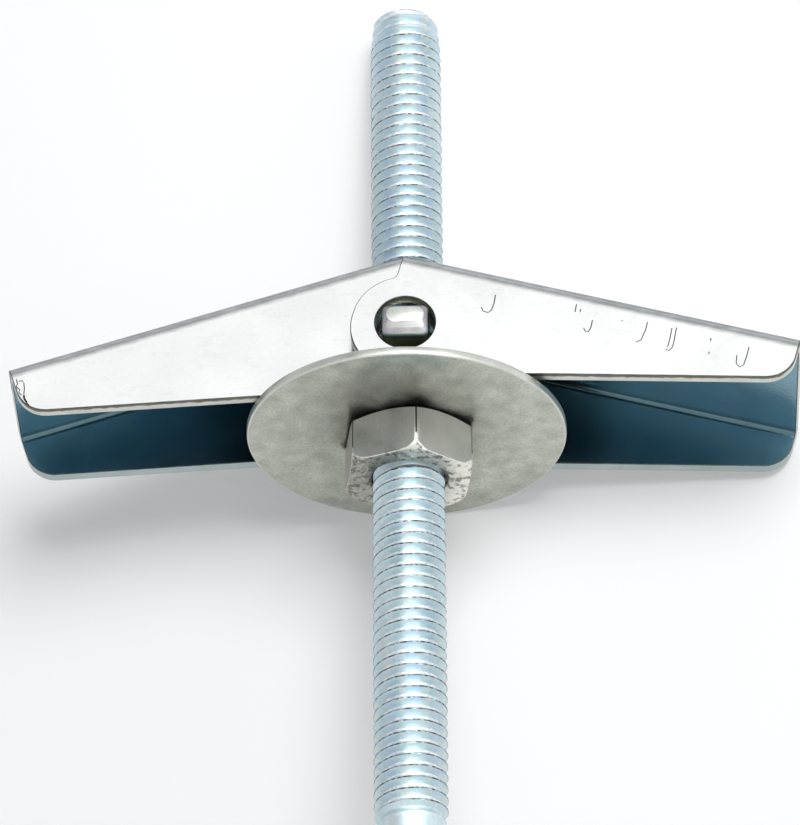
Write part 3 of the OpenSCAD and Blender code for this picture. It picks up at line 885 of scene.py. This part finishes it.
# %% Outer and inner wing
def mark_points(mesh, half, rise, side):
    """Stores fold, roll and under on every point. roll and under are masks for painted shade on the cut
    edges. Only the upper cheek gets roll, and not at its hole.
    """
    fold, roll, under = (mesh.attributes.new(label, "FLOAT", "POINT") for label in ("fold", "roll", "under"))
    for i, vertex in enumerate(mesh.vertices):
        x, y, z = vertex.co
        out, top = abs(y) - (half - bend_r), z - (rise - bend_r)
        fold.data[i].value = 0.0 if top < 1e-4 else 1.0 if out < 1e-4 else atan2(top, out) / (pi / 2)
        upper, by_hole = y * side < 0, hypot(x, z) < hole_d / 2 + hole_rim
        near = 1 - depth_in_sheet(vertex.co, half, rise) / sheet_t
        roll.data[i].value = near if upper and not by_hole else 0.0
        under.data[i].value = 0.0 if upper else 1.0


def wing_mesh(half, rise, root, tip, length, slope, slot, side, marks):
    """One folded sheet. slope is in degrees, and side is 1 for the wing that opens towards x."""
    lean = radians(slope)
    back = (rise * sin(lean) - fold_play / 2) / cos(lean)
    slot_end = (inner_slot - (rise - sheet_t / 2) * sin(lean)) / cos(lean)
    cheek = plate("cheek", cheek_outline(rise, root, tip, length, back), half + 1)
    hole = plate("hole", arc(0, 0, hole_d / 2, 0, 360 - 360 / hole_sides, hole_sides - 1), half + 2)
    opening = plate("slot", slot_outline(slot, slot_end), (rise - 2 * bend_r, rise + bend_r), across="z")
    shape = coat(channel(half, rise, length), wing_finishes,
                 lambda face: SHADED_INSIDE if depth_in_sheet(face.center, half, rise) > sheet_t / 2 else OUTSIDE)
    shape = cut(shape, tool(cheek), "INTERSECT")
    for punch in (hole, opening):
        shape = cut(shape, tool(punch))
    # the bevels take the dark finish, painted shade along every edge
    shape = bevelled(shape, edge_bevel, finish=EDGE_SHADE_AND_SCRATCH)
    for mark in marks:
        shape = cut(shape, tool(groove(mark, -side * half), EDGE_SHADE_AND_SCRATCH))
    mark_points(shape, half, rise, side)
    shape.transform(Matrix.Rotation(lean, 4, "Y"))
    if side < 0:
        shape.transform(Matrix.Rotation(pi, 4, "Z"))
    shape.transform(Matrix.Translation((0, 0, pivot_z)))
    return shape


finished("outer_wing_piece", wing_mesh(**wings["outer"]), "outer_wing", "outer_wing", flats=True)
finished("inner_wing_piece", wing_mesh(**wings["inner"]), "inner_wing", "inner_wing", flats=True)

# %% [markdown]
# ## The pivot nut
# The block that takes the rod's thread also carries the wings, on two flat stubs. The block
# is a bevelled plate with a bore. Each stub is a loft through rounded outlines that shrink
# towards its end.

# %% Pivot nut
stub_w, stub_proud, stub_bevel, block_bevel = 3.8, 0.8, 0.8, 0.6
end_w, end_high, end_low = 3.1, 1.0, -0.35
pivot_play, stub_sunk, stub_round, round_gain, pivot_bevel = 0.05, 0.5, 0.45, 0.2, 0.08
stub_h = sqrt((hole_d - 2 * pivot_play) ** 2 - stub_w ** 2)
stub_end = outer_half + stub_proud


def stub_tones(n, place, tone):
    """Olive passivate along the stub, and a line of painted shade where the rounding of its end begins."""
    y = n.maths("ABSOLUTE", n.axis(place, "Y"))
    deep = stub_end - stub_bevel
    tone = n.mix(n.ramp(y, deep + 0.1, deep - 0.1), tone, colour(150, 156, 122))
    # painted shade line
    line = n.maths("MULTIPLY", n.ramp(y, deep - 0.2, deep), n.ramp(y, deep + 0.35, deep + 0.15))
    return n.mix(line, tone, colour(84, 106, 108))


stub_side = zinc("stub_side", (166, 163, 170), (186, 184, 188),
                 rough=0.34, clouds=0.9, grain=0.15, bump=0.01, dark=0.15, paint=stub_tones)
rounding = ((1, 0), (0.8, 0.06), (0.6, 0.2), (0.3, 0.55), (0.06, 0.93), (0, 1))


def stub(sign):
    """A flat bar along y with rounded corners and a rounded end."""
    rings = []
    stations = [(stub_end - stub_bevel * left, part) for left, part in rounding]
    for y, part in [(block_len / 2 - stub_sunk, 0)] + stations:
        x, r = (stub_w * (1 - part) + end_w * part) / 2, stub_round + round_gain * part
        high, low = stub_h / 2 * (1 - part) + end_high * part, -stub_h / 2 * (1 - part) + end_low * part
        outline = (arc(x - r, high - r, r, 0, 90, 4) + arc(-x + r, high - r, r, 90, 180, 4)
                   + arc(-x + r, low + r, r, 180, 270, 4) + arc(x - r, low + r, r, 270, 360, 4))
        rings.append([(a, sign * y, b) for a, b in outline])
    return loft("stub", rings)


x, y, b = block_w / 2, block_len / 2, block_bevel
block_outline = [(x - b, -y), (x, -y + b), (x, y - b), (x - b, y),
                 (-x + b, y), (-x, y - b), (-x, -y + b), (-x + b, -y)]
block = plate("pivot_nut", block_outline, block_h / 2, across="z")
for sign in (-1, 1):
    block = cut(block, stub(sign), "UNION")
block = cut(block, turned("bore", [(0, -block_h), (bore_r, -block_h), (bore_r, block_h), (0, block_h)]))
block = coat(block, [bright_zinc, stub_side],
             lambda face: 1 if abs(face.center.y) > block_len / 2 + 0.02 and abs(face.normal.y) < 0.9 else 0)
block.transform(Matrix.Translation((0, 0, pivot_z)))
finished("pivot_nut_piece", bevelled(block, pivot_bevel), "toggle_head", "pivot_nut")

# %% [markdown]
# ## The torsion spring
# One wire makes two coils, two arms under the outer wing and a bow under the inner one. The
# arms move with the wings, so the wire is drawn in three runs, one for each body. A curve
# and a round profile are all a wire needs, and Geometry Nodes join them.

# %% Geometry Nodes for a wire
wire_tree = bpy.data.node_groups.new("wire", "GeometryNodeTree")
sockets(wire_tree, "Geometry", ["Geometry"], "OUTPUT")
sockets(wire_tree, "Geometry", ["Geometry"])
sockets(wire_tree, "Float", ["Wire diameter"])
sockets(wire_tree, "Material", ["Finish"])
n = Nodes(wire_tree)
size = n.add("NodeGroupInput").outputs
line = n.geometry("MeshToCurve", Mesh=size["Geometry"])
wire_r = n.maths("MULTIPLY", size["Wire diameter"], 0.5)
circle = n.geometry("CurvePrimitiveCircle", Resolution=12, Radius=wire_r)
swept = n.geometry("CurveToMesh", Curve=line, Profile_Curve=circle, Fill_Caps=True)
tree_end(n, swept, size["Finish"])
print("wire tree has", len(wire_tree.nodes), "nodes")

# %% The spring's path
arm_len, bow_r = 7.5, 1.0
coil_r = hole_d / 2 + 3 * wire_play + wire_d / 2
coil_in = block_len / 2 + wire_play + wire_d / 2
coil_out = coil_in + wire_d + 2 * wire_play
arm_gap = wire_d / 2 + wire_play


def turned_by(x, z, angle):
    a = radians(angle)
    return x * cos(a) + z * sin(a), z * cos(a) - x * sin(a)


def leaves(x, z):
    """Angle on the coil at which an arm that ends at (x, z) leaves it."""
    return degrees(atan2(z, x)) + degrees(acos(coil_r / hypot(x, z)))


arm_outer, arm_inner = (arm_len, outer_rise - sheet_t - arm_gap), (arm_len, inner_rise - sheet_t - arm_gap)
outer_at = leaves(*arm_outer) - outer_slope
inner_at = 540 - (leaves(*arm_inner) - inner_slope)
ox, oz = turned_by(*arm_outer, outer_slope)
ix, iz = turned_by(*arm_inner, inner_slope)


def on_coil(angle, y):
    return (coil_r * cos(radians(angle)), y, coil_r * sin(radians(angle)))


steps = 48
coil_path = [on_coil(outer_at + (inner_at - outer_at) * i / steps, coil_in + (coil_out - coil_in) * i / steps)
             for i in range(steps + 1)]
outer_arm = [(ox, coil_in, oz), on_coil(outer_at, coil_in)]
root = Vector(on_coil(inner_at, coil_out))
tip = Vector((-ix, coil_out, iz))
arm_dir = (tip - root).normalized()
bow = [tip - arm_dir * bow_r + arm_dir * bow_r * sin(a) - Vector((0, bow_r * (1 - cos(a)), 0))
       for a in (pi / 2 * i / 8 for i in range(9))]
half_bow = [tuple(root)] + [tuple(p) for p in bow]
print("coil turns:", round((inner_at - outer_at) / 360, 2))

# %% Coils, arms and bow
def flipped(path):
    return [(x, -y, z) for x, y, z in path]


def wire_piece(name, body, paths):
    points, edges = [], []
    for path in paths:
        first = len(points)
        points += [(x, y, z + pivot_z) for x, y, z in path]
        edges += [(first + i, first + i + 1) for i in range(len(path) - 1)]
    line = bpy.data.meshes.new(name)
    line.from_pydata(points, edges, [])
    mesh = outwards(grown(wire_tree, name, {"Wire diameter": wire_d, "Finish": spring_steel}, start=line))
    finished(name, mesh, body, "torsion_spring", smooth_angle=60)


wire_piece("spring_coils", "toggle_head", [coil_path, flipped(coil_path)])
wire_piece("spring_outer_arms", "outer_wing", [outer_arm, flipped(outer_arm)])
wire_piece("spring_bow", "inner_wing", [half_bow + flipped(half_bow)[::-1]])

# %% [markdown]
# ## The floor
# The floor is white card. What the camera and shiny metal see of it is lifted a little
# towards white.

# %% Floor
floor_material = bpy.data.materials.new("floor")
floor_material.use_nodes = True
n = Nodes(floor_material.node_tree)
lift = n.maths("MULTIPLY", n.viewed(), 0.18)
n.feed(n.tree.nodes["Principled BSDF"], Base_Color=(0.86, 0.86, 0.87, 1.0), Roughness=0.9,
       Specular_IOR_Level=0.1, Emission_Color=(1.0, 1.0, 1.0, 1.0), Emission_Strength=lift)
form = bmesh.new()
bmesh.ops.create_grid(form, x_segments=1, y_segments=1, size=3.0)
floor_mesh = bpy.data.meshes.new("floor")
form.to_mesh(floor_mesh)
form.free()
floor_mesh.materials.append(floor_material)
floor_material.cycles.emission_sampling = "NONE"
floor = new_object("floor", floor_mesh)
print("floor:", floor.dimensions[:])

# %% [markdown]
# ## The room
# Shiny metal shows the room around it, so the room needs a shape: mostly white, with darker
# patches and one brighter window. Rays that only light things meet a dimmer room, which
# keeps the shadow on the floor.

# %% Room
world = bpy.data.worlds.new("room")
bpy.context.scene.world = world
world.use_nodes = True
world.cycles.sampling_method = "NONE"
n = Nodes(world.node_tree)
direction = n.add("ShaderNodeTexCoord").outputs["Generated"]


def patch(azimuth, elevation, inside, outside):
    """1 in a round patch of the room and 0 outside it. Its edge fades between two angles, in degrees."""
    a, e = radians(azimuth), radians(elevation)
    aim = (cos(a) * cos(e), sin(a) * cos(e), sin(e))
    lean = n.add("ShaderNodeVectorMath", direction, aim, operation="DOT_PRODUCT").outputs["Value"]
    return n.ramp(lean, cos(radians(outside)), cos(radians(inside)), kind="SMOOTHSTEP")


# Each dark patch ends with how much light it takes away
dark_patches = [(100, 8, 24, 44, 0.25), (130, 35, 14, 32, 0.5),
                (-165, 45, 20, 50, 0.1), (-124, 0, 3, 12, 0.4)]
window = (-88, 14, 3, 34)
shown = 0.95
for azimuth, elevation, inside, outside, loss in dark_patches:
    shown = n.maths("SUBTRACT", shown, n.maths("MULTIPLY", patch(azimuth, elevation, inside, outside), loss))
shown = n.maths("ADD", shown, n.maths("MULTIPLY", patch(*window), 0.4))
cast = n.ramp(patch(-30, 20, 30, 120), 0.0, 1.0, 0.17, 0.30)
strength = n.add("ShaderNodeMix", n.viewed(), None, cast, shown, data_type="FLOAT").outputs[0]
n.feed(n.tree.nodes["Background"], Color=(0.95, 0.98, 1.0, 1.0), Strength=strength)
print("dark patches:", len(dark_patches))

# %% [markdown]
# ## Lamps
# A large weak lamp above and behind the bolt is what the fronts of the wings mirror. A small
# strong one gives the shadow its edge, and a third fills in from the side.

# %% Lamps
def lamp(name, place, size, glow):
    """A square soft lamp aimed at the bolt. glow is how bright it looks in a mirror, and 1 is white."""
    data = bpy.data.lights.new(name, "AREA")
    data.shape, data.size = "SQUARE", size
    data.energy = glow * pi * size ** 2
    light = bpy.data.objects.new(name, data)
    bpy.context.scene.collection.objects.link(light)
    light.location = place
    light.rotation_euler = (Vector(place) - Vector((0, 0, 0.01))).to_track_quat("Z", "Y").to_euler()
    print(name, "is", round(data.energy, 2), "W")


lamp("back", (0.085, 0.31, 0.385), 0.50, 0.30)
lamp("key", (0.139, 0.154, 0.444), 0.22, 10.5)
lamp("side", (0.35, -0.02, 0.33), 0.40, 0.6)
bpy.context.scene.view_settings.view_transform = "Standard"
